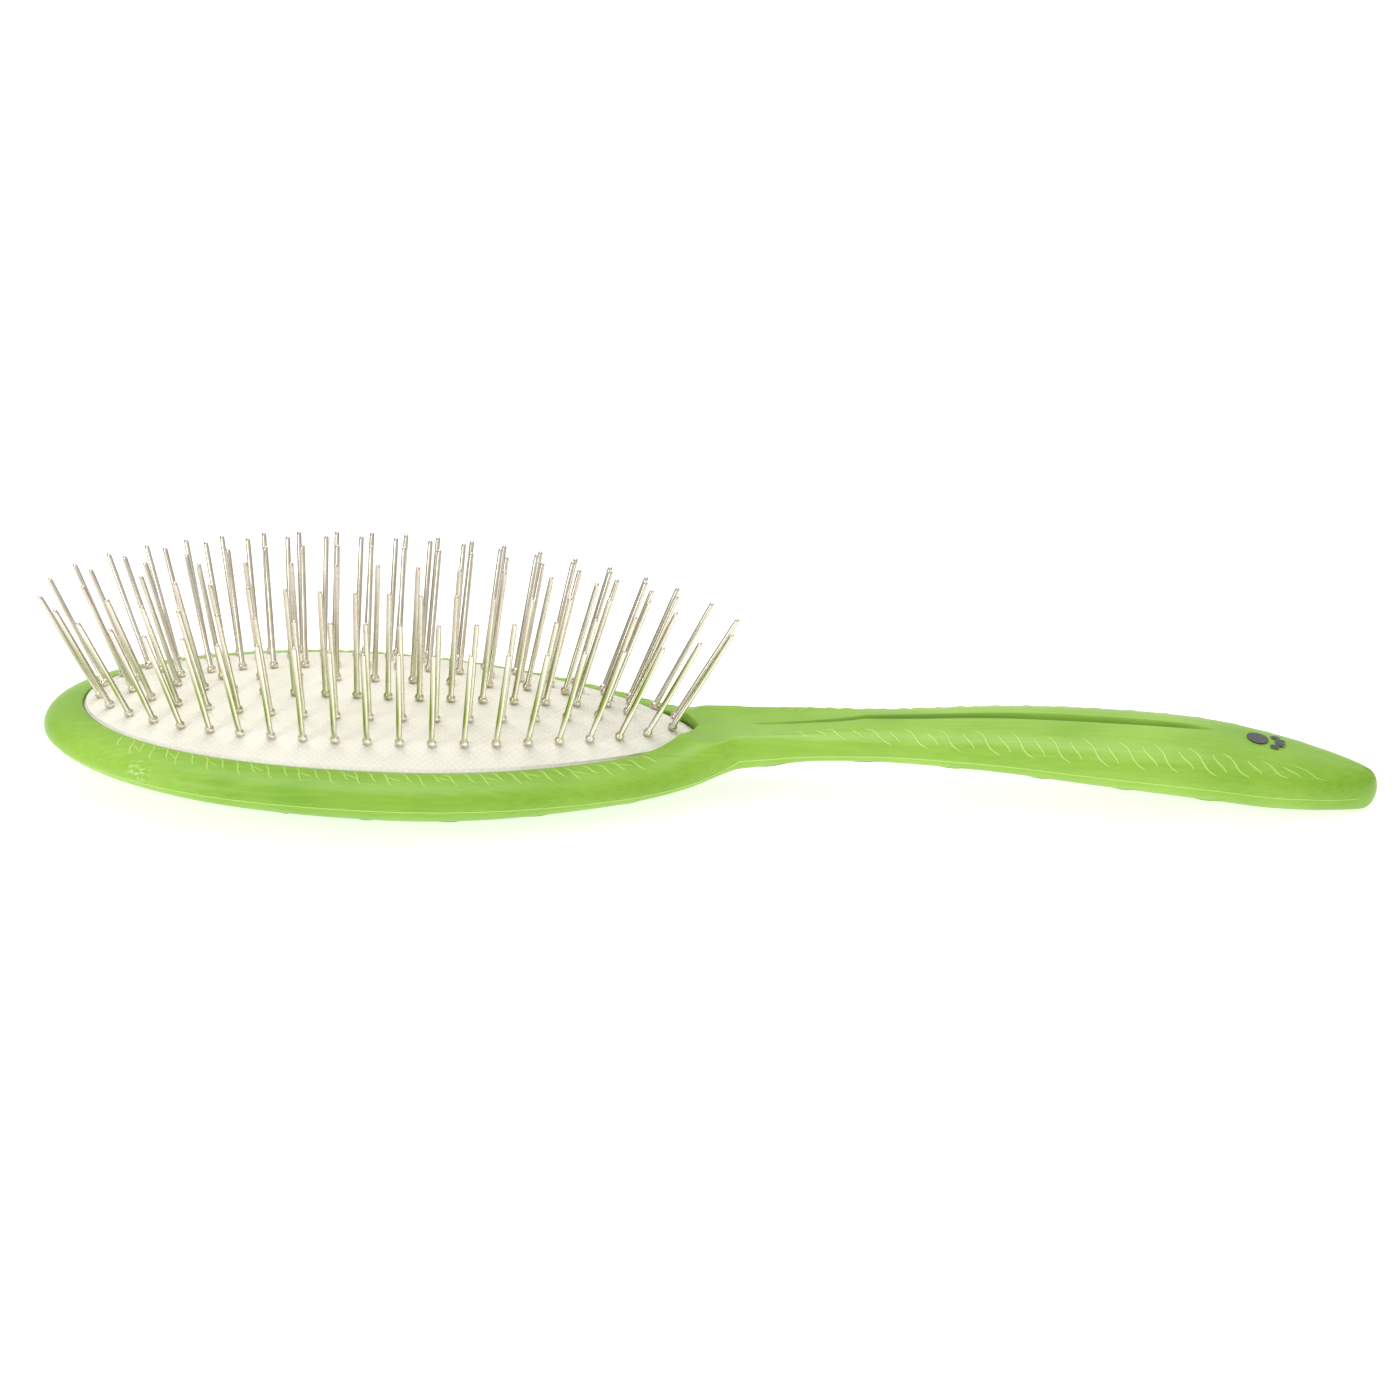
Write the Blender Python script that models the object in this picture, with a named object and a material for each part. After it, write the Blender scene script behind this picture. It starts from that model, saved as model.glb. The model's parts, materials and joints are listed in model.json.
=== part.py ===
"""Cushion pin brush for grooming pets: a moulded handle, a domed rubber cushion and steel pins.

The brush is drawn level, in a frame whose Z = 0 is the top edge of the rim around the cushion and
whose origin is the middle of the cushion, and is then laid on its back on a table: the free end
of the head is propped up a little, and the bottom of the head and the end of the handle touch it.
+X runs from the head to the handle, +Y across the head, +Z up along the pins.
"""

import math

import bmesh
import bpy
from mathutils import Matrix, Vector

MM = 0.001

# Head, handle and rim
HEAD_LENGTH = 121.4 * MM
HEAD_HALF_WIDTH = 34.3 * MM
HANDLE_END_X = 170.6 * MM
FLAT_TRIM = 0.25 * MM
SHOULDER = 2.6
BELLY_FULLNESS = 2.05
GRIP_FULLNESS = 2.3

# Opening, groove and well for the cushion
CUSHION_MIDDLE = -0.5 * MM
CUSHION_HALF_LENGTH = 53.5 * MM
CUSHION_HALF_WIDTH = 27.8 * MM
GROOVE_TOP = -1.2 * MM
GROOVE_BOTTOM = -2.8 * MM
GROOVE_DEPTH = 1.6 * MM
WELL_FLOOR = -7.0 * MM
WELL_TAPER = 5.0 * MM

# Rubber cushion
DOME_HEIGHT = 5.5 * MM
DOME_RISE = 0.031
DOME_RISE_REACH = 35.0 * MM
DOME_SINK = 0.2 * MM
RUBBER_THICKNESS = 1.2 * MM
GAP = 0.3 * MM

# Steel pins
PIN_LENGTH = 21.5 * MM
PIN_RADIUS = 0.5 * MM
COLLAR_RADIUS = 0.8 * MM
PIN_SIDES = 5
COLLAR_FOOT = 0.3 * MM
COLLAR_MIDDLE = 0.8 * MM
COLLAR_TOP = 1.3 * MM
TIP_RADIUS = 0.28 * MM
TIP_LENGTH = 0.4 * MM
FOOT_DEPTH = 1.9 * MM
STRIP_HALF = 0.8 * MM
HOLE_RADIUS = 1.2 * MM
HOLE_SIDES = 6
HOLE_CUT_LENGTH = 7.0 * MM
MOST_SIDE_LEAN = math.radians(25.0)
MOST_END_LEAN = math.radians(28.0)
SIDE_LEAN_RUN = 13.0 * MM
END_LEAN_RUN = 48.0 * MM
END_LEAN_POWER = 1.6

# Leaf-rib channel on top of the handle
CHANNEL_START = 62.0 * MM
CHANNEL_END = 140.5 * MM
CHANNEL_HALF_WIDTH = 1.9 * MM
CHANNEL_DEPTH = 2.0 * MM

# Each ring of pins is the cushion's outline drawn smaller: middle, half-length, half-width, and how
# the pins on one side of the brush are shared out in banks, from the free end to the handle.
PIN_RINGS = [
    ("outer", -0.6 * MM, 50.3 * MM, 21.5 * MM, [3, 4, 4, 4, 3, 3]),
    ("middle", -1.6 * MM, 44.0 * MM, 14.4 * MM, [4, 5, 4, 4]),
    ("inner", 0.3 * MM, 39.0 * MM, 7.2 * MM, [5, 5, 5]),
]
CENTRE_ROW_HALF_LENGTH = 29.7 * MM
CENTRE_ROW_BANKS = [5, 5]

# Half-width squared, parting-line height, height above it and depth below it, along the brush
HANDLE_WIDTH = [(40, 92), (63, 80), (75, 74), (87, 71), (104, 104), (121, 139), (138, 139), (152, 108),
                (162, 55)]
PARTING = [(-60, -4.2), (30, -4.2), (42, -3.7), (53, -2.1), (63, -0.4), (75, 1.0), (104, 2.4), (121, 2.3),
           (140, 1.5), (154, 0.0), (170, -1.3)]
TOP = [(-60, 4.2), (40, 4.2), (53, 3.1), (58, 3.7), (64, 4.4), (75, 3.8), (87, 3.9), (104, 4.8), (121, 5.6),
       (140, 6.1), (154, 5.4), (170, 3.2)]
BELLY = [(-60, 4.7), (-40, 5.8), (-20, 7.6), (0, 8.3), (10, 8.0), (20, 6.9), (40, 4.7), (53, 4.1), (63, 4.0),
         (75, 3.1), (87, 3.35), (104, 4.0), (121, 4.7), (140, 5.3), (154, 5.0), (170, 3.9)]

# Width of the rim's rounding, along the brush
RIM_WIDTH = [(-60, 7.0), (30, 7.0), (46, 5.4), (56, 4.2)]


def clear_scene():
    for obj in list(bpy.data.objects):
        bpy.data.objects.remove(obj, do_unlink=True)


def material(name, colour, roughness, metallic=0.0):
    mat = bpy.data.materials.new(name)
    mat.use_nodes = True
    shader = mat.node_tree.nodes["Principled BSDF"]
    shader.inputs["Base Color"].default_value = (*colour, 1.0)
    shader.inputs["Roughness"].default_value = roughness
    shader.inputs["Metallic"].default_value = metallic
    mat.diffuse_color = (*colour, 1.0)
    return mat


def along(stations, x):
    """Smooth curve through (position, value) stations, both in millimetres."""
    x = x / MM
    if x <= stations[0][0]:
        return stations[0][1]
    if x >= stations[-1][0]:
        return stations[-1][1]
    last = len(stations) - 1
    i = max(k for k in range(last) if stations[k][0] <= x)

    def slope(k):
        before, after = max(k - 1, 0), min(k + 1, last)
        return (stations[after][1] - stations[before][1]) / (stations[after][0] - stations[before][0])

    step = stations[i + 1][0] - stations[i][0]
    t = (x - stations[i][0]) / step
    h00 = (1 + 2 * t) * (1 - t) ** 2
    h10 = t * (1 - t) ** 2
    h01 = t * t * (3 - 2 * t)
    h11 = t * t * (t - 1)
    return (h00 * stations[i][1] + h10 * step * slope(i)
            + h01 * stations[i + 1][1] + h11 * step * slope(i + 1))


def smoothstep(start, end, x):
    t = min(max((x - start) / (end - start), 0.0), 1.0)
    return t * t * (3 - 2 * t)


def egg(x, half_length, half_width):
    """Half-width of an egg that is blunter at -X."""
    t = x / half_length
    if abs(t) >= 1.0:
        return 0.0
    fullness = 0.5 if t < 0 else 0.5 + 0.13 * smoothstep(0.0, 0.6, t)
    return half_width * (1 - t * t) ** fullness * (1 - 0.125 * t - 0.05 * t * t)


def cushion_half_width(x):
    return egg(x - CUSHION_MIDDLE, CUSHION_HALF_LENGTH, CUSHION_HALF_WIDTH)


def cushion_outline(count):
    start = CUSHION_MIDDLE - CUSHION_HALF_LENGTH
    end = CUSHION_MIDDLE + CUSHION_HALF_LENGTH
    return Outline(cushion_half_width, start, end, count)


def handle_half_width(x):
    start, end = HANDLE_WIDTH[0][0] * MM, HANDLE_WIDTH[-1][0] * MM
    if x < start:
        return math.sqrt(HANDLE_WIDTH[0][1]) * MM * smoothstep(0.0, start, x)
    if x <= end:
        return math.sqrt(along(HANDLE_WIDTH, x)) * MM
    left = max(0.0, (HANDLE_END_X - x) / (HANDLE_END_X - end))
    return math.sqrt(HANDLE_WIDTH[-1][1] * left) * MM


def body_half_width(x):
    head = egg(x, HEAD_LENGTH / 2, HEAD_HALF_WIDTH)
    handle = handle_half_width(x)
    return (head ** SHOULDER + handle ** SHOULDER) ** (1 / SHOULDER)


class Outline:
    """A closed outline, the same on both sides of y = 0, with the middle line its normals reach."""

    def __init__(self, half_width, start, end, count):
        self.points = []
        self.middles = []
        for k in range(count + 1):
            turn = math.pi * k / count
            x = start + (end - start) * (1 - math.cos(turn)) / 2
            self.points.append((x, half_width(x) if 0 < k < count else 0.0))
        for x, y in self.points:
            step = 0.2 * MM
            low, high = max(start, x - step), min(end, x + step)
            self.middles.append(x + (half_width(high) ** 2 - half_width(low) ** 2) / (high - low) / 2)
        for k in range(1, len(self.middles)):
            self.middles[k] = max(self.middles[k], self.middles[k - 1] + 0.05 * MM)

    def ring(self, place):
        """Closed loop of points: place(x, y, middle x, distance to middle) gives (inset, z)."""
        near = []
        for (x, y), middle in zip(self.points, self.middles):
            reach = math.hypot(x - middle, y)
            inset, z = place(x, middle, reach)
            share = inset / reach
            near.append(Vector((x + (middle - x) * share, y * (1 - share), z)))
        far = [Vector((p.x, -p.y, p.z)) for p in near[-2:0:-1]]
        return near + far


def mesh_of_rings(name, rings, closed_ends=True):
    """Closed solid through a stack of loops; the first and last loops are pinched flat along y = 0."""
    bm = bmesh.new()
    loops = []
    for ring in rings:
        loops.append([bm.verts.new(p) for p in ring])
    count = len(loops[0])
    for a, b in zip(loops, loops[1:]):
        for k in range(count):
            n = (k + 1) % count
            bm.faces.new((a[k], a[n], b[n], b[k]))
    if closed_ends:
        bmesh.ops.remove_doubles(bm, verts=bm.verts, dist=0.01 * MM)
        bmesh.ops.dissolve_degenerate(bm, edges=bm.edges, dist=0.01 * MM)
    else:
        for loop in (loops[0], loops[-1]):
            bm.faces.new(loop)
    bmesh.ops.recalc_face_normals(bm, faces=bm.faces)
    mesh = bpy.data.meshes.new(name)
    bm.to_mesh(mesh)
    bm.free()
    return mesh


def add_object(name, mesh, collection, parent=None, mat=None):
    obj = bpy.data.objects.new(name, mesh)
    collection.objects.link(obj)
    obj.parent = parent
    if mat:
        mesh.materials.append(mat)
    return obj


def hide_as_cutter(obj):
    obj.hide_render = True
    obj.display_type = "WIRE"


def apply_boolean(obj, cutter, operation="DIFFERENCE"):
    boolean = obj.modifiers.new("cut", "BOOLEAN")
    boolean.operation = operation
    boolean.solver = "EXACT"
    boolean.object = cutter
    bpy.context.view_layer.update()
    graph = bpy.context.evaluated_depsgraph_get()
    mesh = bpy.data.meshes.new_from_object(obj.evaluated_get(graph))
    obj.modifiers.clear()
    obj.data = mesh


def top_surface(x, middle, inset, reach):
    """Height of the upper side: a rounded rim around the head, an oval section along the handle."""
    parting = along(PARTING, middle) * MM
    height = along(TOP, middle) * MM
    rim_share = min(inset / (along(RIM_WIDTH, middle) * MM), 1.0)
    rim = math.sqrt(1 - (1 - rim_share) ** 2)
    across = 1 - inset / reach
    oval = (1 - across ** GRIP_FULLNESS) ** (1 / GRIP_FULLNESS)
    grip = smoothstep(50 * MM, 84 * MM, middle)
    return parting + height * (rim * (1 - grip) + oval * grip)


def belly_surface(middle, inset, reach):
    parting = along(PARTING, middle) * MM
    depth = along(BELLY, middle) * MM
    across = 1 - inset / reach
    return parting - depth * (1 - across ** BELLY_FULLNESS) ** (1 / BELLY_FULLNESS)


def handle_body(collection, cutters, parent, mat):
    """Head and handle, moulded in one piece, with the cushion's opening and the leaf-rib channel."""
    outline = Outline(body_half_width, -HEAD_LENGTH / 2, HANDLE_END_X, 46)
    rings = []
    for share in (1.0, 0.72, 0.45, 0.22, 0.09, 0.02):
        rings.append(outline.ring(lambda x, m, r: (share * r, top_surface(x, m, share * r, r))))
    rings.append(outline.ring(lambda x, m, r: (0.0, along(PARTING, m) * MM)))
    for share in (0.02, 0.08, 0.2, 0.4, 0.68, 1.0):
        rings.append(outline.ring(lambda x, m, r: (share * r, belly_surface(m, share * r, r))))
    body = add_object("handle_body", mesh_of_rings("handle_body", rings), collection, parent, mat)

    opening = cushion_outline(32)
    steps = [(0.0, 4 * MM), (0.0, GROOVE_TOP), (-GROOVE_DEPTH, GROOVE_TOP), (-GROOVE_DEPTH, GROOVE_BOTTOM),
             (0.5 * MM, GROOVE_BOTTOM), (WELL_TAPER, WELL_FLOOR)]
    well_rings = [opening.ring(lambda x, m, r: (inset, z)) for inset, z in steps]
    well = add_object("well_cutter", mesh_of_rings("well_cutter", well_rings, False), cutters, parent)
    hide_as_cutter(well)
    apply_boolean(body, well)

    channel = add_object("channel_cutter", channel_mesh(), cutters, parent)
    hide_as_cutter(channel)
    apply_boolean(body, channel)
    return body


def channel_mesh():
    """Long lens-shaped bar whose underside runs a set depth below the top of the handle."""
    bm = bmesh.new()
    steps = 20
    previous = None
    for k in range(steps + 1):
        t = 0.02 + 0.96 * k / steps
        x = CHANNEL_START + (CHANNEL_END - CHANNEL_START) * t
        half = CHANNEL_HALF_WIDTH * math.sin(math.pi * t) ** 0.7
        top = (along(PARTING, x) + along(TOP, x)) * MM
        deep = top - CHANNEL_DEPTH * math.sin(math.pi * t) ** 0.5
        corners = [(-half, top + 3 * MM), (half, top + 3 * MM), (half, top - 0.3 * MM), (0.45 * half, deep),
                   (-0.45 * half, deep), (-half, top - 0.3 * MM)]
        loop = [bm.verts.new((x, y, z)) for y, z in corners]
        if previous is None:
            bm.faces.new(loop)
        else:
            for i in range(len(loop)):
                j = (i + 1) % len(loop)
                bm.faces.new((previous[i], previous[j], loop[j], loop[i]))
        previous = loop
    bm.faces.new(previous)
    bmesh.ops.recalc_face_normals(bm, faces=bm.faces)
    mesh = bpy.data.meshes.new("channel_cutter")
    bm.to_mesh(mesh)
    bm.free()
    return mesh


def dome_height(inset, x):
    """Height of the dome, which stands a little higher towards the handle."""
    middle = DOME_HEIGHT + DOME_RISE * min(max(x, -DOME_RISE_REACH), DOME_RISE_REACH)
    return middle * (1 - (1 - min(inset / CUSHION_HALF_WIDTH, 1.0)) ** 2)


def dome_ring(outline, share, drop):
    """Loop of points on the dome, a share of the way in from its outline and lowered by a drop."""
    return outline.ring(lambda x, m, r: (share * r, dome_height(share * r, x + (m - x) * share) - drop))


def dome_at(x, y):
    """Height of the cushion at a pin: the shortest way from the pin to the outline sets it."""
    steps = [CUSHION_MIDDLE + CUSHION_HALF_LENGTH * (k / 100 - 1) for k in range(201)]
    nearest = min(math.hypot(x - u, abs(y) - cushion_half_width(u)) for u in steps)
    return dome_height(nearest, x)


def rubber_cushion(collection, cutters, parent, mat, pins):
    """Domed rubber diaphragm with a lip that sits in the groove, pierced where the pins pass."""
    outline = cushion_outline(30)
    rings = []
    for share in (1.0, 0.8, 0.55, 0.3, 0.12):
        rings.append(dome_ring(outline, share, DOME_SINK))
    lip_out = -(GROOVE_DEPTH - GAP)
    lip_in = GAP + RUBBER_THICKNESS
    under = DOME_SINK + RUBBER_THICKNESS
    for inset, z in ((GAP, -DOME_SINK), (GAP, GROOVE_TOP - GAP), (lip_out, GROOVE_TOP - GAP),
                     (lip_out, GROOVE_BOTTOM + GAP), (lip_in, GROOVE_BOTTOM + GAP)):
        rings.append(outline.ring(lambda x, m, r: (inset, z)))
    rings.append(outline.ring(lambda x, m, r: (lip_in, dome_height(lip_in, x) - under)))
    for share in (0.25, 0.5, 0.8, 1.0):
        rings.append(dome_ring(outline, share, under))
    cushion = add_object("rubber_cushion", mesh_of_rings("rubber_cushion", rings), collection, parent, mat)

    bm = bmesh.new()
    for base, direction in pins:
        turn = direction.to_track_quat("Z", "Y").to_matrix().to_4x4()
        bmesh.ops.create_cone(bm, cap_ends=True, segments=HOLE_SIDES, radius1=HOLE_RADIUS,
                              radius2=HOLE_RADIUS, depth=HOLE_CUT_LENGTH,
                              matrix=Matrix.Translation(base) @ turn)
    mesh = bpy.data.meshes.new("hole_cutters")
    bm.to_mesh(mesh)
    bm.free()
    holes = add_object("hole_cutters", mesh, cutters, parent)
    hide_as_cutter(holes)
    apply_boolean(cushion, holes)
    return cushion


def pin_lean(x, y):
    """Direction of a pin: it leans out from the middle of the cushion."""
    side = MOST_SIDE_LEAN * math.tanh(y / SIDE_LEAN_RUN)
    end = math.copysign(MOST_END_LEAN * (abs(x) / END_LEAN_RUN) ** END_LEAN_POWER, x)
    return Vector((math.tan(end), math.tan(side), 1.0)).normalized()


def ring_pins(centre, half_length, half_width, count):
    """Evenly spaced pins on one side of a ring, from the free end to the handle."""
    walk = []
    for k in range(401):
        turn = math.pi * k / 400
        x = -half_length * math.cos(turn)
        walk.append((centre + x, egg(x, half_length, half_width)))
    lengths = [0.0]
    for (x0, y0), (x1, y1) in zip(walk, walk[1:]):
        lengths.append(lengths[-1] + math.hypot(x1 - x0, y1 - y0))
    places = []
    for k in range(count):
        wanted = lengths[-1] * (k + 0.5) / count
        i = next(n for n in range(1, len(lengths)) if lengths[n] >= wanted)
        places.append(walk[i])
    return places


def seat(x, y):
    return Vector((x, y, dome_at(x, y) - DOME_SINK)), pin_lean(x, y)


def all_banks():
    """Names and pins of every bank: neighbours in one ring, which lean and tilt together."""
    banks = []
    for ring_name, centre, half_length, half_width, sizes in PIN_RINGS:
        places = ring_pins(centre, half_length, half_width, sum(sizes))
        for side_name, side in (("near", -1), ("far", 1)):
            first = 0
            for number, size in enumerate(sizes, 1):
                group = [seat(x, side * y) for x, y in places[first:first + size]]
                banks.append((f"pins_{ring_name}_{side_name}_{number}", group))
                first += size
    total = sum(CENTRE_ROW_BANKS)
    spacing = 2 * CENTRE_ROW_HALF_LENGTH / (total - 1)
    first = 0
    for number, size in enumerate(CENTRE_ROW_BANKS, 1):
        group = [seat(-CENTRE_ROW_HALF_LENGTH + spacing * k, 0.0) for k in range(first, first + size)]
        banks.append((f"pins_centre_{number}", group))
        first += size
    return banks


def turned_pin(bm, matrix):
    """One steel pin: foot, round collar on the rubber, straight shank and blunt round tip."""
    profile = [(PIN_RADIUS, -FOOT_DEPTH), (PIN_RADIUS, COLLAR_FOOT), (COLLAR_RADIUS, COLLAR_MIDDLE),
               (PIN_RADIUS, COLLAR_TOP), (PIN_RADIUS, PIN_LENGTH - TIP_LENGTH), (TIP_RADIUS, PIN_LENGTH)]
    previous = None
    for radius, z in profile:
        loop = []
        for k in range(PIN_SIDES):
            turn = math.tau * k / PIN_SIDES
            loop.append(bm.verts.new(matrix @ Vector((radius * math.cos(turn), radius * math.sin(turn), z))))
        if previous is None:
            bm.faces.new(loop)
        else:
            for k in range(PIN_SIDES):
                n = (k + 1) % PIN_SIDES
                bm.faces.new((previous[k], previous[n], loop[n], loop[k]))
        previous = loop
    bm.faces.new(previous)


def pin_bank(name, group, collection, cutters, parent, mat):
    """A few neighbouring pins on a narrow strip under the rubber, with its origin on their axis."""
    first, last = group[0][0], group[-1][0]
    middle = sum((base for base, _ in group), Vector()) / len(group)
    tangent = (last - first).normalized()
    if tangent.x < 0:
        tangent = -tangent
    lean = sum((direction for _, direction in group), Vector()).normalized()
    across = lean.cross(tangent).normalized()
    up = tangent.cross(across)
    place = Matrix((tangent, across, up)).transposed().to_4x4()
    place.translation = middle
    to_local = place.inverted()

    bm = bmesh.new()
    for base, direction in group:
        turn = direction.to_track_quat("Z", "Y").to_matrix().to_4x4()
        turned_pin(bm, to_local @ Matrix.Translation(base) @ turn)
    bmesh.ops.recalc_face_normals(bm, faces=bm.faces)
    mesh = bpy.data.meshes.new(name)
    bm.to_mesh(mesh)
    bm.free()
    bank = add_object(name, mesh, collection, parent, mat)
    bank.matrix_local = place

    feet = [to_local @ (base - direction * (FOOT_DEPTH + STRIP_HALF * 0.4)) for base, direction in group]
    run = (feet[1] - feet[0]).normalized() * STRIP_HALF
    end = (feet[-1] - feet[-2]).normalized() * STRIP_HALF
    feet = [feet[0] - run] + feet[1:-1] + [feet[-1] + end]
    strip = bmesh.new()
    previous = None
    for foot in feet:
        corners = [(-STRIP_HALF, -STRIP_HALF / 2), (STRIP_HALF, -STRIP_HALF / 2),
                   (STRIP_HALF, STRIP_HALF / 2), (-STRIP_HALF, STRIP_HALF / 2)]
        loop = [strip.verts.new(foot + Vector((0.0, y, z))) for y, z in corners]
        if previous is None:
            strip.faces.new(loop)
        else:
            for k in range(len(loop)):
                n = (k + 1) % len(loop)
                strip.faces.new((previous[k], previous[n], loop[n], loop[k]))
        previous = loop
    strip.faces.new(previous)
    bmesh.ops.recalc_face_normals(strip, faces=strip.faces)
    strip_mesh = bpy.data.meshes.new(name + "_strip")
    strip.to_mesh(strip_mesh)
    strip.free()
    joiner = add_object(name + "_strip", strip_mesh, cutters, parent)
    joiner.matrix_local = place
    hide_as_cutter(joiner)
    apply_boolean(bank, joiner, "UNION")
    return bank


def lie_angle(body):
    """How far the brush tips when the bottom of the head and the end of the handle both touch."""
    corners = [v.co for v in body.data.vertices]
    head = [c for c in corners if c.x < HEAD_LENGTH / 2]
    grip = [c for c in corners if c.x > CHANNEL_END - 20 * MM]
    low, high = 0.0, math.radians(8.0)
    for _ in range(40):
        angle = (low + high) / 2
        head_foot = min(c.z * math.cos(angle) - c.x * math.sin(angle) for c in head)
        grip_foot = min(c.z * math.cos(angle) - c.x * math.sin(angle) for c in grip)
        if grip_foot > head_foot:
            low = angle
        else:
            high = angle
    return angle


def lay_on_table(frame, body, pieces):
    """Tips the brush back, trims the two places that touch and centres it over the origin."""
    frame.rotation_euler = (0.0, lie_angle(body), 0.0)
    bpy.context.view_layer.update()
    lowest = min((body.matrix_world @ v.co).z for v in body.data.vertices)
    frame.location.z = -lowest - FLAT_TRIM
    bpy.context.view_layer.update()
    to_body = body.matrix_world.inverted()
    down = (to_body.to_3x3() @ Vector((0, 0, -1))).normalized()
    bm = bmesh.new()
    bm.from_mesh(body.data)
    cut = bmesh.ops.bisect_plane(bm, geom=bm.verts[:] + bm.edges[:] + bm.faces[:], plane_no=down,
                                 plane_co=to_body.translation, clear_outer=True, dist=1e-7)
    edges = [e for e in cut["geom_cut"] if isinstance(e, bmesh.types.BMEdge)]
    bmesh.ops.holes_fill(bm, edges=edges)
    bm.to_mesh(body.data)
    bm.free()
    corners = [piece.matrix_world @ v.co for piece in pieces for v in piece.data.vertices]
    for axis in (0, 1):
        values = [c[axis] for c in corners]
        frame.location[axis] -= (min(values) + max(values)) / 2
    bpy.context.view_layer.update()


def main():
    clear_scene()
    parts = bpy.data.collections.new("pin_brush")
    cutters = bpy.data.collections.new("cutters")
    for collection in (parts, cutters):
        bpy.context.scene.collection.children.link(collection)
    frame = bpy.data.objects.new("brush_frame", None)
    parts.objects.link(frame)

    green = material("green_moulded_plastic", (0.29, 0.56, 0.05), 0.42)
    rubber = material("cream_rubber", (0.86, 0.83, 0.71), 0.75)
    steel = material("nickel_steel", (0.72, 0.69, 0.62), 0.25, 1.0)

    banks = all_banks()
    pins = [pin for _, group in banks for pin in group]
    body = handle_body(parts, cutters, frame, green)
    pieces = [body, rubber_cushion(parts, cutters, frame, rubber, pins)]
    for name, group in banks:
        pieces.append(pin_bank(name, group, parts, cutters, frame, steel))
    lay_on_table(frame, body, pieces)


main()
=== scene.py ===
import json
import math
import random

import bmesh
import bpy
import numpy as np
from mathutils import Matrix, Vector


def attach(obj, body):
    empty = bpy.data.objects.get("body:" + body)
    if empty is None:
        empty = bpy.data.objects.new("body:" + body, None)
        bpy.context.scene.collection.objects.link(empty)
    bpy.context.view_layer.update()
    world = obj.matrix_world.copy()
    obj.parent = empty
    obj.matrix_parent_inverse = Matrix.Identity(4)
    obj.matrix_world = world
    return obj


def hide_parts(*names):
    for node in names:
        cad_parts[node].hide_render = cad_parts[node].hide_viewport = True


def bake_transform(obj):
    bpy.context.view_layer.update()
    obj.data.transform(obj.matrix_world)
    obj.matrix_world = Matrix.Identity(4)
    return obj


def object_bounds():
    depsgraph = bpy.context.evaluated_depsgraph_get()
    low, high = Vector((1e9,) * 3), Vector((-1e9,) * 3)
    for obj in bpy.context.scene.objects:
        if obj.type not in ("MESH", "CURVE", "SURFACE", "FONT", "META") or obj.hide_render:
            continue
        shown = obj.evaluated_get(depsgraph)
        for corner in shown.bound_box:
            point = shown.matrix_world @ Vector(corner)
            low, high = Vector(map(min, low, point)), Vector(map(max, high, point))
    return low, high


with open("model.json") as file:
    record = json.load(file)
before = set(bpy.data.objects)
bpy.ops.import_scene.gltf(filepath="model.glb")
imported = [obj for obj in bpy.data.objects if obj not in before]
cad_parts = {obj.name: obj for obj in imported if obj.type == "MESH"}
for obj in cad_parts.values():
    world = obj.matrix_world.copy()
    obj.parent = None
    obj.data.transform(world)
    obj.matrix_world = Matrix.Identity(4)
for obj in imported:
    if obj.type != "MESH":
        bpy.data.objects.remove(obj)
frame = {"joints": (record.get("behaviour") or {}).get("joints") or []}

cad_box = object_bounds()

# ---------------------------------------------------------------------------------------------
# Head and handle: one green plastic moulding. A rounded rim runs round the head's opening, the
# neck has a flat dished top, and a leaf's midrib is sunk along the top of the grip.
# Drawn level in millimetres, rim edge at Z = 0, then tipped back the way the brush lies.
HEAD_LENGTH = 121.4
HEAD_HALF_WIDTH = 34.3
HANDLE_END = 170.6
SHOULDER = 2.6
GRIP_FULLNESS = 2.3
BELLY_FULLNESS = 2.05
OPENING_MIDDLE = -0.5
OPENING_HALF_LENGTH = 53.5
OPENING_HALF_WIDTH = 27.8
GROOVE_TOP = -1.2
GROOVE_BOTTOM = -2.8
GROOVE_DEPTH = 1.6
WELL_FLOOR = -7.0
WELL_TAPER = 5.0
NECK_START = 50.0
NECK_END = 84.0
FREE_END_DROOP = 1.1
DROOP_FROM = -58.0
DROOP_TO = 0.0
MM = 0.001

# Values at places along the brush: the handle's half-width squared, the parting line, the height
# above it, the depth below it, and how far in from the edge the rim goes on rounding over
HANDLE_WIDTH_SQUARED = [(40, 92), (63, 80), (75, 74), (87, 71), (104, 104), (121, 139), (138, 139),
                        (152, 108), (162, 55)]
PARTING = [(-60, -4.6), (30, -4.6), (42, -4.0), (53, -2.2), (63, -0.4), (75, 1.0), (104, 2.4), (121, 2.3),
           (140, 1.5), (154, 0.0), (170, -1.3)]
TOP = [(-60, 4.2), (38, 4.2), (47, 5.1), (53, 5.4), (58, 4.8), (64, 4.4), (75, 3.8), (87, 3.9),
       (104, 4.8), (121, 5.6), (140, 6.1), (154, 5.4), (170, 3.2)]
BELLY = [(-60, 3.6), (-40, 4.0), (-20, 6.8), (0, 7.9), (10, 7.6), (20, 6.5), (40, 4.4), (53, 4.0),
         (63, 4.0), (75, 3.1), (87, 3.35), (104, 4.0), (121, 4.7), (140, 5.3), (154, 5.0),
         (170, 3.9)]
RIM_WIDTH = [(-60, 7.0), (30, 7.0), (44, 5.0), (52, 2.4), (57, 2.8), (62, 5.2), (70, 5.0)]

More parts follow.
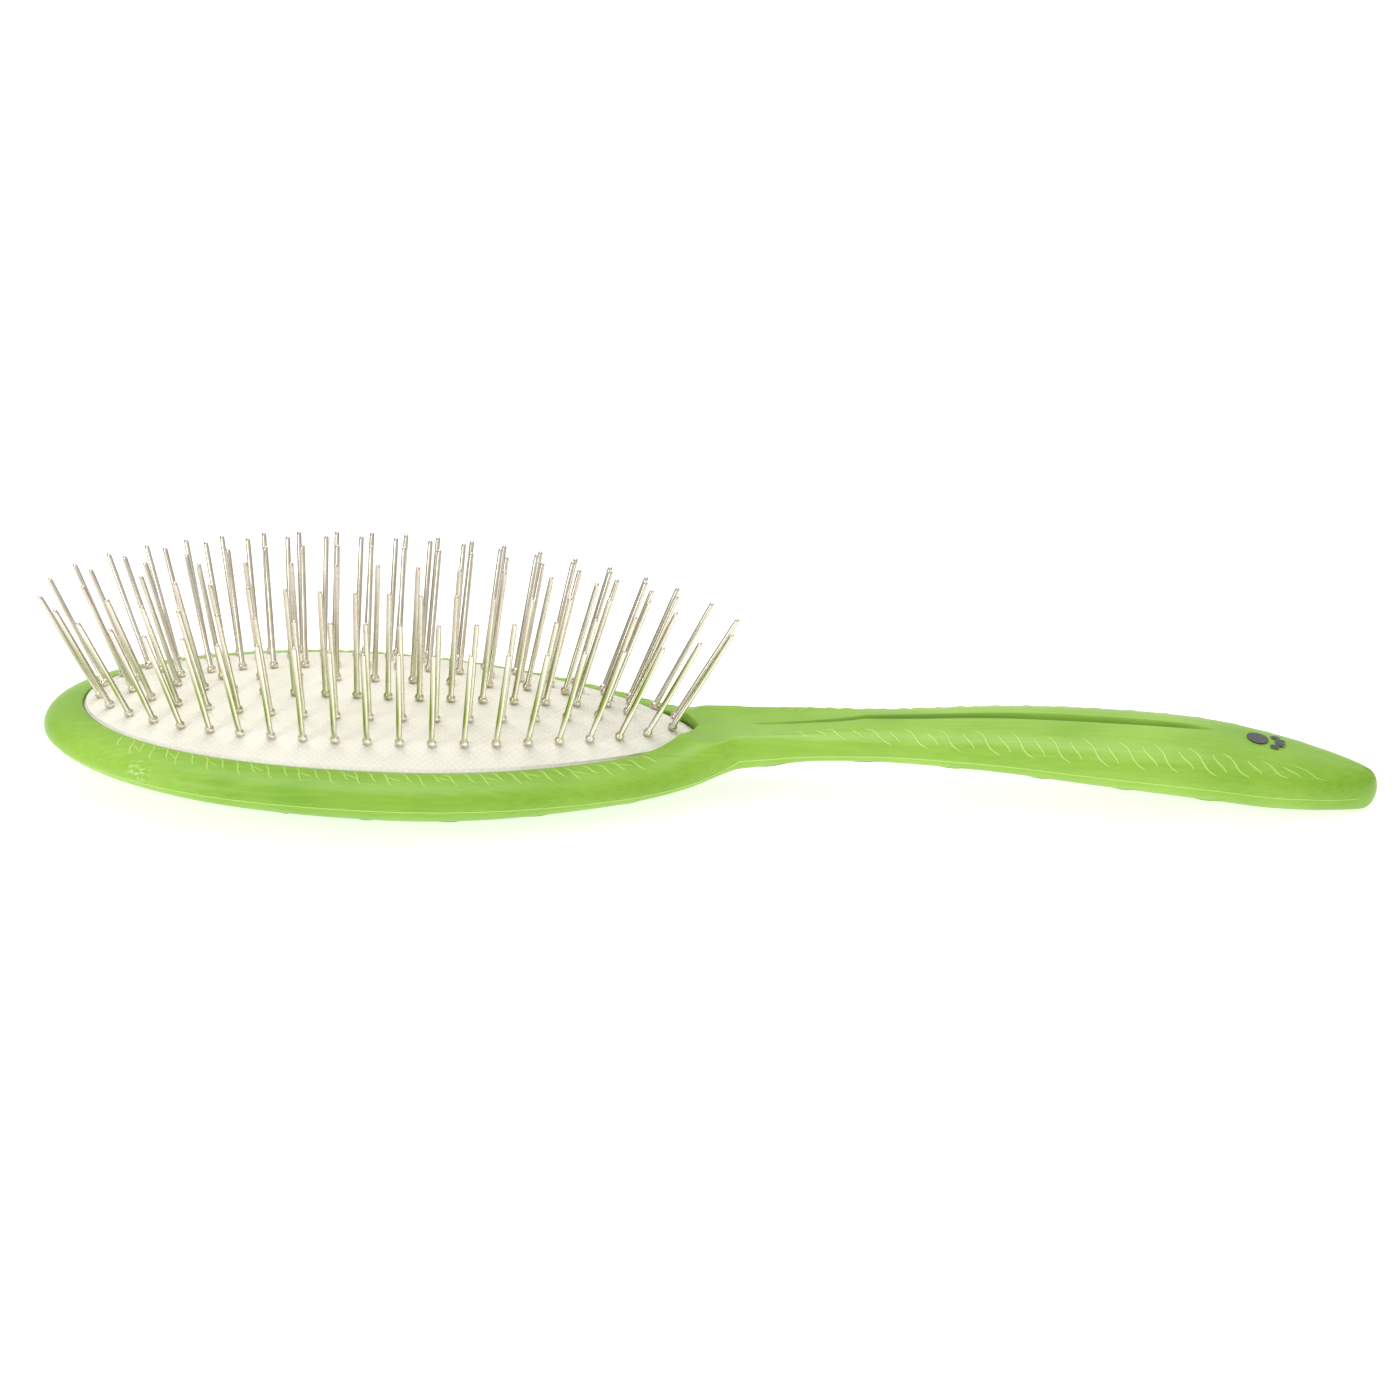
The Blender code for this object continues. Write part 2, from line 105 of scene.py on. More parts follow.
# The neck's flat top above the parting line, how deep it is dished, and the leaf's midrib
NECK_TOP = [(47, 6.9), (54, 5.0), (58, 4.3), (64, 3.5), (71, 3.2), (80, 3.6), (86, 4.9), (92, 6.6)]
NECK_DISH = [(50, 1.6), (56, 1.4), (62, 0.8), (70, 0.5), (84, 0.0)]
NECK_DISH_HALF_WIDTH = 8.0
NECK_EDGE_SOFTNESS = 0.25
RIB_HALF_WIDTH = [(61, 0.15), (66, 0.45), (75, 0.75), (84, 1.0), (94, 1.3), (105, 1.6), (113, 1.85),
                  (123, 1.85), (133, 1.6), (138, 1.1), (142.5, 0.12)]
RIB_DEPTH = [(61, 0.0), (66, 0.5), (75, 1.0), (84, 1.4), (94, 1.8), (105, 2.0), (123, 2.1), (133, 1.8),
             (138, 1.2), (142.5, 0.0)]
RIB_FLOOR_SHARE = 0.35


def along(stations, x):
    """Smooth curve through (place, value) stations."""
    places, values = np.array(stations, float).T
    slopes = np.gradient(values, places)
    slopes[1:-1] = (values[2:] - values[:-2]) / (places[2:] - places[:-2])
    x = np.clip(x, places[0], places[-1])
    i = np.clip(np.searchsorted(places, x, side="right") - 1, 0, len(places) - 2)
    step = places[i + 1] - places[i]
    t = (x - places[i]) / step
    rise = (1 + 2 * t) * (1 - t) ** 2 * values[i] + t * t * (3 - 2 * t) * values[i + 1]
    return rise + step * (t * (1 - t) ** 2 * slopes[i] + t * t * (t - 1) * slopes[i + 1])


def smoothstep(start, end, x):
    t = np.clip((x - start) / (end - start), 0.0, 1.0)
    return t * t * (3 - 2 * t)


ELLIPSE_POWER = 0.5
EGG_POINTING = 0.13
EGG_POINTED_FROM = 0.6
EGG_TAPER = 0.125
EGG_ROUNDING = 0.05


def egg(x, half_length, half_width):
    """Half-width of an egg that is blunter at -X."""
    t = np.clip(x / half_length, -1.0, 1.0)
    fullness = ELLIPSE_POWER + EGG_POINTING * smoothstep(0.0, EGG_POINTED_FROM, t)
    return half_width * (1 - t * t) ** fullness * (1 - EGG_TAPER * t - EGG_ROUNDING * t * t)


def opening_half_width(x):
    return egg(x - OPENING_MIDDLE, OPENING_HALF_LENGTH, OPENING_HALF_WIDTH)


def body_half_width(x):
    head = egg(x, HEAD_LENGTH / 2, HEAD_HALF_WIDTH)
    start, root_squared = HANDLE_WIDTH_SQUARED[0]
    end, nose_squared = HANDLE_WIDTH_SQUARED[-1]
    root = math.sqrt(root_squared) * smoothstep(0.0, start, x)
    left = np.clip((HANDLE_END - x) / (HANDLE_END - end), 0.0, 1.0)
    nose = np.sqrt(nose_squared * left)
    grip = np.sqrt(along(HANDLE_WIDTH_SQUARED, x))
    handle = np.where(x < start, root, np.where(x > end, nose, grip))
    return (head ** SHOULDER + handle ** SHOULDER) ** (1 / SHOULDER)


EDGE_SAMPLES = 4001
SLOPE_STEP = 0.2


class Edge:
    """One side of a closed outline by distance along it, and the middle line its normals reach."""

    def __init__(self, half_width, start, end):
        turn = np.linspace(0.0, math.pi, EDGE_SAMPLES)
        self.x = start + (end - start) * (1 - np.cos(turn)) / 2
        self.y = half_width(self.x)
        self.y[[0, -1]] = 0.0
        low = np.maximum(self.x - SLOPE_STEP, start)
        high = np.minimum(self.x + SLOPE_STEP, end)
        middle = self.x + (half_width(high) ** 2 - half_width(low) ** 2) / (high - low) / 2
        self.middle = np.maximum.accumulate(middle)
        self.way = np.concatenate([[0.0], np.cumsum(np.hypot(np.diff(self.x), np.diff(self.y)))])
        self.length = self.way[-1]

    def ray(self, way):
        """Start of the ray, its middle point and its length, at a distance along the edge."""
        x = np.interp(way, self.way, self.x)
        y = np.interp(way, self.way, self.y)
        middle = np.interp(way, self.way, self.middle)
        return x, y, middle, np.hypot(x - middle, y)

    def way_at(self, x):
        return np.interp(x, self.x, self.way)


OPENING_TIP = OPENING_MIDDLE + OPENING_HALF_LENGTH
body_edge = Edge(body_half_width, -HEAD_LENGTH / 2, HANDLE_END)
opening_edge = Edge(opening_half_width, OPENING_MIDDLE - OPENING_HALF_LENGTH, OPENING_TIP)


def lower_of(a, b, softness):
    """The lower of two heights, with a small radius where they meet."""
    gap = np.clip((b - a) / softness, -1.0, 1.0)
    meeting = np.abs(gap) < 1
    return (a + b) / 2 - softness * (gap * gap + 1) / 4 * meeting - np.abs(b - a) / 2 * ~meeting


def top_skin(way, inset):
    """Points of the upper side, inset from the parting line towards the middle."""
    x, y, middle, reach = body_edge.ray(way)
    share = np.minimum(inset / reach, 1.0)
    px = x + (middle - x) * share
    py = y * (1 - share)
    height = along(TOP, middle)
    rim = np.sqrt(1 - (1 - np.minimum(inset / along(RIM_WIDTH, middle), 1.0)) ** 2)
    oval = (1 - (1 - share) ** GRIP_FULLNESS) ** (1 / GRIP_FULLNESS)
    grip = smoothstep(NECK_START, NECK_END, middle)
    parting = along(PARTING, middle)
    z = parting + height * (rim * (1 - grip) + oval * grip)
    dish = along(NECK_DISH, px) * np.clip(1 - (py / NECK_DISH_HALF_WIDTH) ** 2, 0.0, 1.0)
    flat = parting + along(NECK_TOP, px) - dish
    z = lower_of(z, flat, NECK_EDGE_SOFTNESS)
    across = np.abs(py) / along(RIB_HALF_WIDTH, px)
    inside = (px > RIB_DEPTH[0][0]) & (px < RIB_DEPTH[-1][0])
    sunk = along(RIB_DEPTH, px) * (1 - smoothstep(RIB_FLOOR_SHARE, 1.0, across))
    z = z - np.where(inside, sunk, 0.0)
    return np.stack([px, py, z], -1)


def belly_skin(way, inset):
    """Points of the back, inset from the parting line towards the middle."""
    x, y, middle, reach = body_edge.ray(way)
    share = np.minimum(inset / reach, 1.0)
    round_off = (1 - (1 - share) ** BELLY_FULLNESS) ** (1 / BELLY_FULLNESS)
    z = along(PARTING, middle) - along(BELLY, middle) * round_off
    return np.stack([x + (middle - x) * share, y * (1 - share), z], -1)


HALVINGS = 40


def opening_inset(way):
    """How far in from the parting line the opening's edge is, or infinity on the handle."""
    x, y, middle, reach = body_edge.ray(way)
    low, high = np.zeros_like(reach), reach.copy()
    for _ in range(HALVINGS):
        inset = (low + high) / 2
        share = inset / reach
        outside = y * (1 - share) >= opening_half_width(x + (middle - x) * share)
        low = np.where(outside, inset, low)
        high = np.where(outside, high, inset)
    return np.where(middle < OPENING_TIP, (low + high) / 2, np.inf)


DOME_HEIGHT = 5.5
DOME_RISE = 0.031
DOME_RISE_REACH = 35.0
DOME_SINK = 0.2
SEAT_SAMPLE_STEP = 20
press = next(joint for joint in frame["joints"] if joint["name"] == "cushion_press")
lie = math.atan2(press["axis"][0], press["axis"][2])
tip_back = np.array([[math.cos(lie), 0, math.sin(lie)], [0, 1, 0], [-math.sin(lie), 0, math.cos(lie)]])


def dome_height(inset, x):
    """Height of the rubber dome above its edge; it stands a little higher towards the handle."""
    middle_height = DOME_HEIGHT + DOME_RISE * np.clip(x, -DOME_RISE_REACH, DOME_RISE_REACH)
    return middle_height * (1 - (1 - np.minimum(inset / OPENING_HALF_WIDTH, 1.0)) ** 2)


def seat(x, y):
    """Where a pin meets the rubber: the shortest way to the opening's edge sets the height."""
    u = opening_edge.x[::SEAT_SAMPLE_STEP]
    v = opening_edge.y[::SEAT_SAMPLE_STEP]
    return np.array([x, y, dome_height(np.min(np.hypot(x - u, abs(y) - v)), x) - DOME_SINK])


CENTRE_ROW_HALF_LENGTH = 29.7
CENTRE_ROW_PINS = 10
centre_row_x = np.linspace(-CENTRE_ROW_HALF_LENGTH, CENTRE_ROW_HALF_LENGTH, CENTRE_ROW_PINS)
first_bank = np.mean([seat(x, 0.0) for x in centre_row_x[:CENTRE_ROW_PINS // 2]], 0)
hinge = next(joint for joint in frame["joints"] if joint["name"] == "centre_1_tilt")
level_origin = np.array(hinge["pos_m"]) - tip_back @ first_bank * MM


def placed(points):
    """Level millimetres to the place where the brush lies, in metres; its free end droops a little."""
    points = np.array(points, float)
    points[..., 2] -= FREE_END_DROOP * (1 - smoothstep(DROOP_FROM, DROOP_TO, points[..., 0]))
    return points @ tip_back.T * MM + level_origin


def laid_grid(bm, points):
    """A grid of quads with each corner moved to its place."""
    columns, rows = points.shape[:2]
    made = bmesh.ops.create_grid(bm, x_segments=columns - 1, y_segments=rows - 1, size=0.5)
    for corner in made["verts"]:
        i = round((corner.co.x + 0.5) * (columns - 1))
        j = round((corner.co.y + 0.5) * (rows - 1))
        corner.co = points[i, j]


def both_sides(side):
    """The +Y side and its mirror image as one run of columns round the outline."""
    other = side[-2::-1].copy()
    other[..., 1] *= -1
    return np.concatenate([side, other])


SEAM_REACH = 0.002
SHORTEST_EDGE = 0.0005


def piece_from(bm, name, finish):
    """Closes the seams, turns the faces outwards and makes the object."""
    bmesh.ops.remove_doubles(bm, verts=bm.verts, dist=SEAM_REACH * MM)
    bmesh.ops.dissolve_degenerate(bm, edges=bm.edges, dist=SHORTEST_EDGE * MM)
    bmesh.ops.recalc_face_normals(bm, faces=bm.faces)
    mesh = bpy.data.meshes.new(name)
    bm.to_mesh(mesh)
    bm.free()
    mesh.shade_smooth()
    piece = bpy.data.objects.new(name, mesh)
    bpy.context.scene.collection.objects.link(piece)
    mesh.materials.append(finish)
    return piece


COLUMNS = 418
TOP_ROWS = 44
BELLY_ROWS = 44
TOP_ROW_SPREAD = 0.9
BELLY_ROW_SPREAD = 0.97
TIP_COLUMNS = (-0.25, -0.04, 0.04, 0.25)
TIP_CLEARANCE = 0.3
LIP_WIDTH = 0.3
RIB_ZONE_SCALE = 1.25
RIB_ZONE_MARGIN = 0.2
RIB_ZONE_MOST = 0.8

# From the opening's edge towards the middle, and height: the lip's rounding, the groove for the
# cushion, and the well under it. The lip's four heights are taken from the rim above them.
LIP_POINTS = 4
WELL_PROFILE = [(-0.14, -0.03), (-0.05, -0.10), (-0.01, -0.22), (0.0, -0.4), (0.0, GROOVE_TOP),
                (-GROOVE_DEPTH, GROOVE_TOP), (-GROOVE_DEPTH, GROOVE_BOTTOM), (0.5, GROOVE_BOTTOM),
                (1.6, -3.83), (3.2, -5.32), (WELL_TAPER, WELL_FLOOR), (9.0, WELL_FLOOR),
                (18.0, WELL_FLOOR), (40.0, WELL_FLOOR)]

tip_way = np.interp(OPENING_TIP, body_edge.middle, body_edge.way)
ways = np.linspace(0.0, body_edge.length, COLUMNS)
ways = ways[np.abs(ways - tip_way) > TIP_CLEARANCE]
ways = np.sort(np.concatenate([ways, tip_way + np.array(TIP_COLUMNS)]))
x, y, middle, reach = body_edge.ray(ways)
to_opening = opening_inset(ways)
on_head = np.isfinite(to_opening)
to_opening = np.where(on_head, to_opening, reach)
rib_zone = along(RIB_HALF_WIDTH, middle) * RIB_ZONE_SCALE + RIB_ZONE_MARGIN
rib_zone = np.where(y > 0, np.minimum(rib_zone, RIB_ZONE_MOST * y), 0.0)
run = np.where(on_head, np.maximum(to_opening - LIP_WIDTH, 0.5 * to_opening),
               reach * (1 - rib_zone / np.maximum(y, 0.01)))
turn = np.linspace(0.0, math.pi / 2, TOP_ROWS + 1)
top_rows = [top_skin(ways, run * (1 - math.cos(a) ** TOP_ROW_SPREAD)) for a in turn[1:]]

rim_z = top_skin(ways, to_opening)[:, 2]
inner_rows = []
for k, (inset, z) in enumerate(WELL_PROFILE):
    depth = rim_z + z if k < LIP_POINTS else np.full_like(rim_z, z)
    share = np.minimum((to_opening + inset) / reach, 1.0)
    wall = np.stack([x + (middle - x) * share, y * (1 - share), depth], -1)
    channel = top_skin(ways, run + (reach - run) * (k + 1) / len(WELL_PROFILE))
    inner_rows.append(np.where(on_head[:, None], wall, channel))

parting_row = np.stack([x, y, along(PARTING, middle)], -1)
turn = np.linspace(0.0, math.pi / 2, BELLY_ROWS + 1)
belly_rows = [belly_skin(ways, reach * (1 - math.cos(a) ** BELLY_ROW_SPREAD)) for a in turn[:0:-1]]
side = np.stack(belly_rows + [parting_row] + top_rows + inner_rows, 1)


def rested(bm):
    """Flattens whatever would reach below the table."""
    for corner in bm.verts:
        corner.co.z = max(corner.co.z, cad_box[0][2])


bm = bmesh.new()
laid_grid(bm, placed(both_sides(side)))
rested(bm)


def new_finish(name):
    """A material with its shader, and a helper that adds and wires a node."""
    finish = bpy.data.materials.new(name)
    finish.use_nodes = True
    tree = finish.node_tree
    shader = tree.nodes["Principled BSDF"]

    def add(kind, inputs=None, **settings):
        node = tree.nodes.new(kind)
        for key, value in settings.items():
            setattr(node, key, value)
        for key, value in (inputs or {}).items():
            if isinstance(value, bpy.types.NodeSocket):
                tree.links.new(value, node.inputs[key])
            else:
                node.inputs[key].default_value = value
        return node

    return finish, tree, shader, add


def ramp(add, value, start, end, low=0.0, high=1.0):
    """Goes from low to high while the value goes from start to end."""
    return add("ShaderNodeMapRange", {"Value": value, "From Min": start, "From Max": end,
                                      "To Min": low, "To Max": high}).outputs[0]


def product(add, first, second):
    return add("ShaderNodeMath", {0: first, 1: second}, operation="MULTIPLY").outputs[0]


def mixed(add, share, first, second):
    return add("ShaderNodeMix", {0: share, 6: first, 7: second}, data_type="RGBA").outputs[2]


DEEP_GREEN = (0.175, 0.375, 0.012)
LIGHT_GREEN = (0.315, 0.54, 0.06)
# Painted shade in the midrib's channel: its darker green, its edges aside and its ends ahead
CHANNEL_PAINTED_SHADE_GREEN = (0.10, 0.24, 0.008, 1)
CHANNEL_SHADE_SIDES = (0.0009, 0.0016)
CHANNEL_SHADE_START = (0.012, 0.045)
CHANNEL_SHADE_FINISH = (0.080, 0.087)
SCUFF_GREEN = (0.72, 0.83, 0.5, 1)
SCUFF_PLACE = [-41.0, -27.5, -2.4]
SCUFF_SIZE = (0.0010, 0.0032)


def green_plastic(name, deep, light, handled=False):
    """Satin moulded plastic: flow streaks along the brush, a fine grain and a slight change of tone.

    The handled part has painted shade darkening the midrib's channel, and pale nicks on the rim's
    outside.
    """
    finish, tree, shader, add = new_finish(name)
    where = add("ShaderNodeTexCoord").outputs["Object"]
    long_way = add("ShaderNodeMapping", {"Vector": where, "Scale": (70, 1500, 1500)}).outputs[0]
    streaks = add("ShaderNodeTexNoise", {"Vector": long_way, "Scale": 1.0, "Detail": 5.0,
                                         "Roughness": 0.6}).outputs[0]
    patches = add("ShaderNodeTexNoise", {"Vector": where, "Scale": 42.0, "Detail": 3.0}).outputs[0]
    grain = add("ShaderNodeTexNoise", {"Vector": where, "Scale": 3800.0, "Detail": 2.0}).outputs[0]
    tone = product(add, streaks, 0.45)
    tone = add("ShaderNodeMath", {0: patches, 1: 0.75, 2: tone}, operation="MULTIPLY_ADD").outputs[0]
    colour = mixed(add, ramp(add, tone, 0.38, 0.82), (*deep, 1), (*light, 1))
    rough = ramp(add, streaks, 0.3, 0.7, 0.36, 0.47)
    if handled:
        split = add("ShaderNodeSeparateXYZ", {0: where})
        ahead, aside = split.outputs[0], split.outputs[1]
        aside = add("ShaderNodeMath", {0: aside}, operation="ABSOLUTE").outputs[0]
        # Painted shade: a darker green laid into the midrib's channel, where shade falls in it
        channel_painted_shade = ramp(add, aside, *CHANNEL_SHADE_SIDES, 0.7, 0.0)
        channel_painted_shade = product(add, channel_painted_shade, ramp(add, ahead, *CHANNEL_SHADE_START))
        channel_painted_shade = product(add, channel_painted_shade, ramp(add, ahead, *CHANNEL_SHADE_FINISH, 1.0, 0.0))
        colour = mixed(add, channel_painted_shade, colour, CHANNEL_PAINTED_SHADE_GREEN)
        scuff = tuple(placed(SCUFF_PLACE))
        away = add("ShaderNodeVectorMath", {0: where, 1: scuff}, operation="DISTANCE").outputs[1]
        near = ramp(add, away, *SCUFF_SIZE, 0.75, 0.0)
        slant = add("ShaderNodeMapping", {"Vector": where, "Rotation": (0.0, 0.5, 0.4),
                                          "Scale": (500, 1900, 1900)}).outputs[0]
        nicks = add("ShaderNodeTexNoise", {"Vector": slant, "Scale": 1.0, "Detail": 4.0}).outputs[0]
        worn = product(add, near, ramp(add, nicks, 0.52, 0.64))
        colour = mixed(add, worn, colour, SCUFF_GREEN)
    bump = add("ShaderNodeBump", {"Height": grain, "Strength": 0.25, "Distance": 0.00003})
    flow = add("ShaderNodeBump", {"Height": streaks, "Strength": 0.2, "Distance": 0.00008,
                                  "Normal": bump.outputs[0]})
    tree.links.new(colour, shader.inputs["Base Color"])
    tree.links.new(rough, shader.inputs["Roughness"])
    tree.links.new(flow.outputs[0], shader.inputs["Normal"])
    shader.inputs["Specular IOR Level"].default_value = 0.45
    shader.inputs["Subsurface Weight"].default_value = 0.06
    shader.inputs["Subsurface Radius"].default_value = (0.5, 1.0, 0.2)
    shader.inputs["Subsurface Scale"].default_value = 0.001
    return finish


green = green_plastic("green_satin_plastic", DEEP_GREEN, LIGHT_GREEN, handled=True)
moulding = piece_from(bm, "handle_moulding", green)
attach(moulding, "handle")
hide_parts("handle_body")

# ---------------------------------------------------------------------------------------------
# Leaf veins: fine raised lines moulded with the plastic, on both sides of the grip, round the rim
# and, larger, over the back. The mould's parting line shows as a thin raised line below them.
VEIN_SIDES = 6
VEIN_SINK = 0.1
VEIN_POINTS = 14
STEP_AHEAD = 0.05
STEP_INWARD = 0.02


def on_skin(skin, way, inset, side):
    """Points on the moulding and the directions out of it."""
    here = skin(way, inset)
    ahead = skin(way + STEP_AHEAD, inset) - here
    inward = skin(way, inset + STEP_INWARD) - here
    out = np.cross(ahead, inward)
    out /= np.linalg.norm(out, axis=-1, keepdims=True)
    if skin is top_skin:
        out = np.where(out[:, 2:] < 0, -out, out)
    else:
        out = np.where(out[:, 2:] > 0, -out, out)
    flip = np.array([1.0, side, 1.0])
    return here * flip, out * flip


def raised_line(bm, path, out, width, height, taper=0.5):
    """A thin ridge along a path, pointed at both ends and sunk a little into the plastic."""
    path = placed(path)
    out = out @ tip_back.T
    run = np.gradient(path, axis=0)
    run /= np.linalg.norm(run, axis=-1, keepdims=True)
    across = np.cross(out, run)
    t = np.linspace(0.0, 1.0, len(path))
    size = (np.sin(math.pi * t) ** taper)[:, None]
    size[[0, -1]] = 0.0
    rings = []
    for k in range(VEIN_SIDES + 1):
        angle = math.tau * k / VEIN_SIDES
        lift = (height if math.sin(angle) > 0 else VEIN_SINK) * math.sin(angle)
        rings.append(path + size * MM * (width / 2 * math.cos(angle) * across + lift * out))
    laid_grid(bm, np.stack(rings, 1))


# On the grip, long bent veins and short steep ones take turns. These are the angles round the grip
# where they start and end, in degrees up from the parting line, at places along it.
VEIN_TOP = [(60, 60), (76, 60), (84, 60), (94, 58), (100, 58), (115, 54), (125, 54), (145, 52), (166, 46)]
VEIN_FOOT = [(60, 42), (70, 38), (78, 34), (84, 27), (88, 18), (110, 11), (144, 14), (152, 24), (166, 30)]
GRIP_VEINS_FROM = 60.5
GRIP_VEINS_TO = 158.0
GRIP_VEIN_PITCH = 3.1
GRIP_PITCH_SCATTER = (-0.25, 0.25)
GRIP_VEIN_SCATTER = (-0.3, 0.3)
GRIP_VEIN_WIDTH = 0.45
GRIP_VEIN_HEIGHT = 0.16
LONG_VEINS_FROM = 68.0
LONG_VEIN_LEAD = (5.2, 6.4)
LONG_VEIN_BEND = 0.07
LONG_VEIN_SWAY = 1.6
STEEP_VEIN_LEAD = (2.2, 3.0)
STEEP_VEIN_BEND = -0.08
STEEP_VEIN_PART = (0.12, 0.85)
STEEP_VEIN_SHIFT = 1.4

# Round the rim, short veins run from high on the rim down its outside, and every third one forks
RIM_VEINS_FROM = 26.0
RIM_VEINS_TO = 131.0
RIM_VEIN_PITCH = (2.4, 3.4)
RIM_VEIN_LEAD = (1.8, 2.8)
RIM_VEIN_BEND = 0.1
RIM_VEIN_TOP = 6.2
RIM_VEIN_FEET = (3.2, 2.3)
RIM_VEIN_CLEARANCE = 0.45
RIM_VEIN_WIDTH = 0.42
RIM_VEIN_HEIGHT = 0.16
FORK_POINT = 5
FORK_LEAD = 2.6
FORK_DROP = 1.1
FORK_WIDTH = 0.34
FORK_HEIGHT_SHARE = 0.8

# The parting line stops short of both ends of the outline
PARTING_POINTS = 260
PARTING_ENDS = (4.0, 5.0)
PARTING_INSET = 0.10
PARTING_WIDTH = 0.3
PARTING_HEIGHT = 0.07
PARTING_TAPER = 0.1

steps = np.linspace(0.0, 1.0, VEIN_POINTS)
bm = bmesh.new()
dice = random.Random(7)
for side in (-1, 1):
    place = GRIP_VEINS_FROM
    count = 0
    while place < GRIP_VEINS_TO:
        shift = dice.uniform(*GRIP_VEIN_SCATTER)
        lengthy = count % 2 == 1 and place > LONG_VEINS_FROM
        if lengthy:
            lead = dice.uniform(*LONG_VEIN_LEAD)
            first, last = 0.0, 1.0
            bend, sway = LONG_VEIN_BEND, LONG_VEIN_SWAY
        else:
            lead = dice.uniform(*STEEP_VEIN_LEAD)
            first, last = STEEP_VEIN_PART
            bend, sway = STEEP_VEIN_BEND, 0.0
            shift += STEEP_VEIN_SHIFT
        lead = lead * (0.7 + 0.3 * smoothstep(70, 90, place))
        drop = first + (last - first) * steps
        along_vein = place + shift + lead * (steps + bend * np.sin(math.tau * steps))
        angle = along(VEIN_TOP, along_vein) * (1 - drop) + along(VEIN_FOOT, along_vein) * drop
        angle = np.radians(angle + sway * np.sin(math.tau * steps))
        way = body_edge.way_at(along_vein)
        reach_here = body_edge.ray(way)[3]
        inset = reach_here * (1 - np.cos(angle) ** (2 / GRIP_FULLNESS))
        fade = float(smoothstep(52, 82, place)) * (1.0 - 0.45 * float(smoothstep(142, 160, place)))
        raised_line(bm, *on_skin(top_skin, way, inset, side), GRIP_VEIN_WIDTH * fade,
                    GRIP_VEIN_HEIGHT * fade)
        count += 1
        place += GRIP_VEIN_PITCH + dice.uniform(*GRIP_PITCH_SCATTER)

    place = RIM_VEINS_FROM
    count = 0
    while place < RIM_VEINS_TO:
        lead = dice.uniform(*RIM_VEIN_LEAD)
        foot = RIM_VEIN_FEET[count % 2]
        way = place + lead * (steps + RIM_VEIN_BEND * np.sin(math.tau * steps))
        inset = RIM_VEIN_TOP + (foot - RIM_VEIN_TOP) * steps
        low_edge = opening_inset(way) - RIM_VEIN_CLEARANCE
        inset = np.minimum(inset, low_edge)
        height = RIM_VEIN_HEIGHT * float(smoothstep(14, 50, place))
        raised_line(bm, *on_skin(top_skin, way, inset, side), RIM_VEIN_WIDTH, height)
        if count % 3 == 1:
            fork = way[FORK_POINT] + FORK_LEAD * steps
            inset = np.minimum(inset[FORK_POINT] - FORK_DROP * steps, low_edge)
            raised_line(bm, *on_skin(top_skin, fork, inset, side), FORK_WIDTH,
                        height * FORK_HEIGHT_SHARE)
        count += 1
        place += dice.uniform(*RIM_VEIN_PITCH)

    parting = np.linspace(PARTING_ENDS[0], body_edge.length - PARTING_ENDS[1], PARTING_POINTS)
    inset = np.full(PARTING_POINTS, PARTING_INSET)
    raised_line(bm, *on_skin(belly_skin, parting, inset, side), PARTING_WIDTH, PARTING_HEIGHT,
                PARTING_TAPER)

# The raised lines take a lighter copy of the green plastic: a painted highlight on their crests
vein_highlight_green = green_plastic("green_raised_lines_painted_highlight", (0.37, 0.60, 0.10), (0.48, 0.70, 0.17))
veins = piece_from(bm, "leaf_veins", vein_highlight_green)
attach(veins, "handle")

# The back's leaf: a midrib down the middle and a pair of side veins every 15 mm, smaller on the handle
BACK_VEINS_FROM = -44.0
BACK_VEIN_PITCH = 15.0
BACK_VEIN_PAIRS = 13
BACK_VEIN_OFFSET = 1.5
BACK_HEAD_END = 45.0
BACK_VEIN_LEADS = (15.0, 9.0)
BACK_VEIN_SIZES = (1.0, 0.5)
BACK_VEIN_CURVE = 1.25
BACK_VEIN_START = 0.985
BACK_VEIN_REACH = 0.90
BACK_VEIN_WIDTH = 1.3
BACK_VEIN_HEIGHT = 0.42
MIDRIB_ENDS = (-46.0, 160.0)
MIDRIB_POINTS = 160
MIDRIB_WIDTH = 2.2
MIDRIB_HEIGHT = 0.45

points = np.linspace(0.0, 1.0, 26)
bm = bmesh.new()
for side in (-1, 1):
    for k in range(BACK_VEIN_PAIRS):
        spine_x = BACK_VEINS_FROM + BACK_VEIN_PITCH * k + BACK_VEIN_OFFSET * (side > 0)
        on_handle = spine_x >= BACK_HEAD_END
        lead = BACK_VEIN_LEADS[on_handle]
        size = BACK_VEIN_SIZES[on_handle]
        way = body_edge.way_at(spine_x + lead * points ** BACK_VEIN_CURVE)
        inset = body_edge.ray(way)[3] * (BACK_VEIN_START - BACK_VEIN_REACH * points)
        raised_line(bm, *on_skin(belly_skin, way, inset, side), BACK_VEIN_WIDTH * size,
                    BACK_VEIN_HEIGHT * size, 0.6)
way = body_edge.way_at(np.linspace(*MIDRIB_ENDS, MIDRIB_POINTS))
path, out = on_skin(belly_skin, way, body_edge.ray(way)[3] * 0.999, 1)
path[:, 1] = 0.0
out[:] = (0.0, 0.0, -1.0)
raised_line(bm, path, out, MIDRIB_WIDTH, MIDRIB_HEIGHT, 0.3)
rested(bm)
back_green = green_plastic("green_back_relief", DEEP_GREEN, LIGHT_GREEN)
back_leaf = piece_from(bm, "back_leaf_veins", back_green)
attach(back_leaf, "handle")

# ---------------------------------------------------------------------------------------------
# Printed mark near the end of the handle: a plain paw, printed in dark ink over the curve of the
# plastic. Five thin pads of ink lie on the surface.
PAW_X = 149.5
PAW_CORNERS = 28
INK_LIFT = 0.03
INK_EDGE_LIFT = 0.012
BLACK_INK = (0.035, 0.04, 0.045, 1)
WORN_INK = (0.12, 0.13, 0.12, 1)

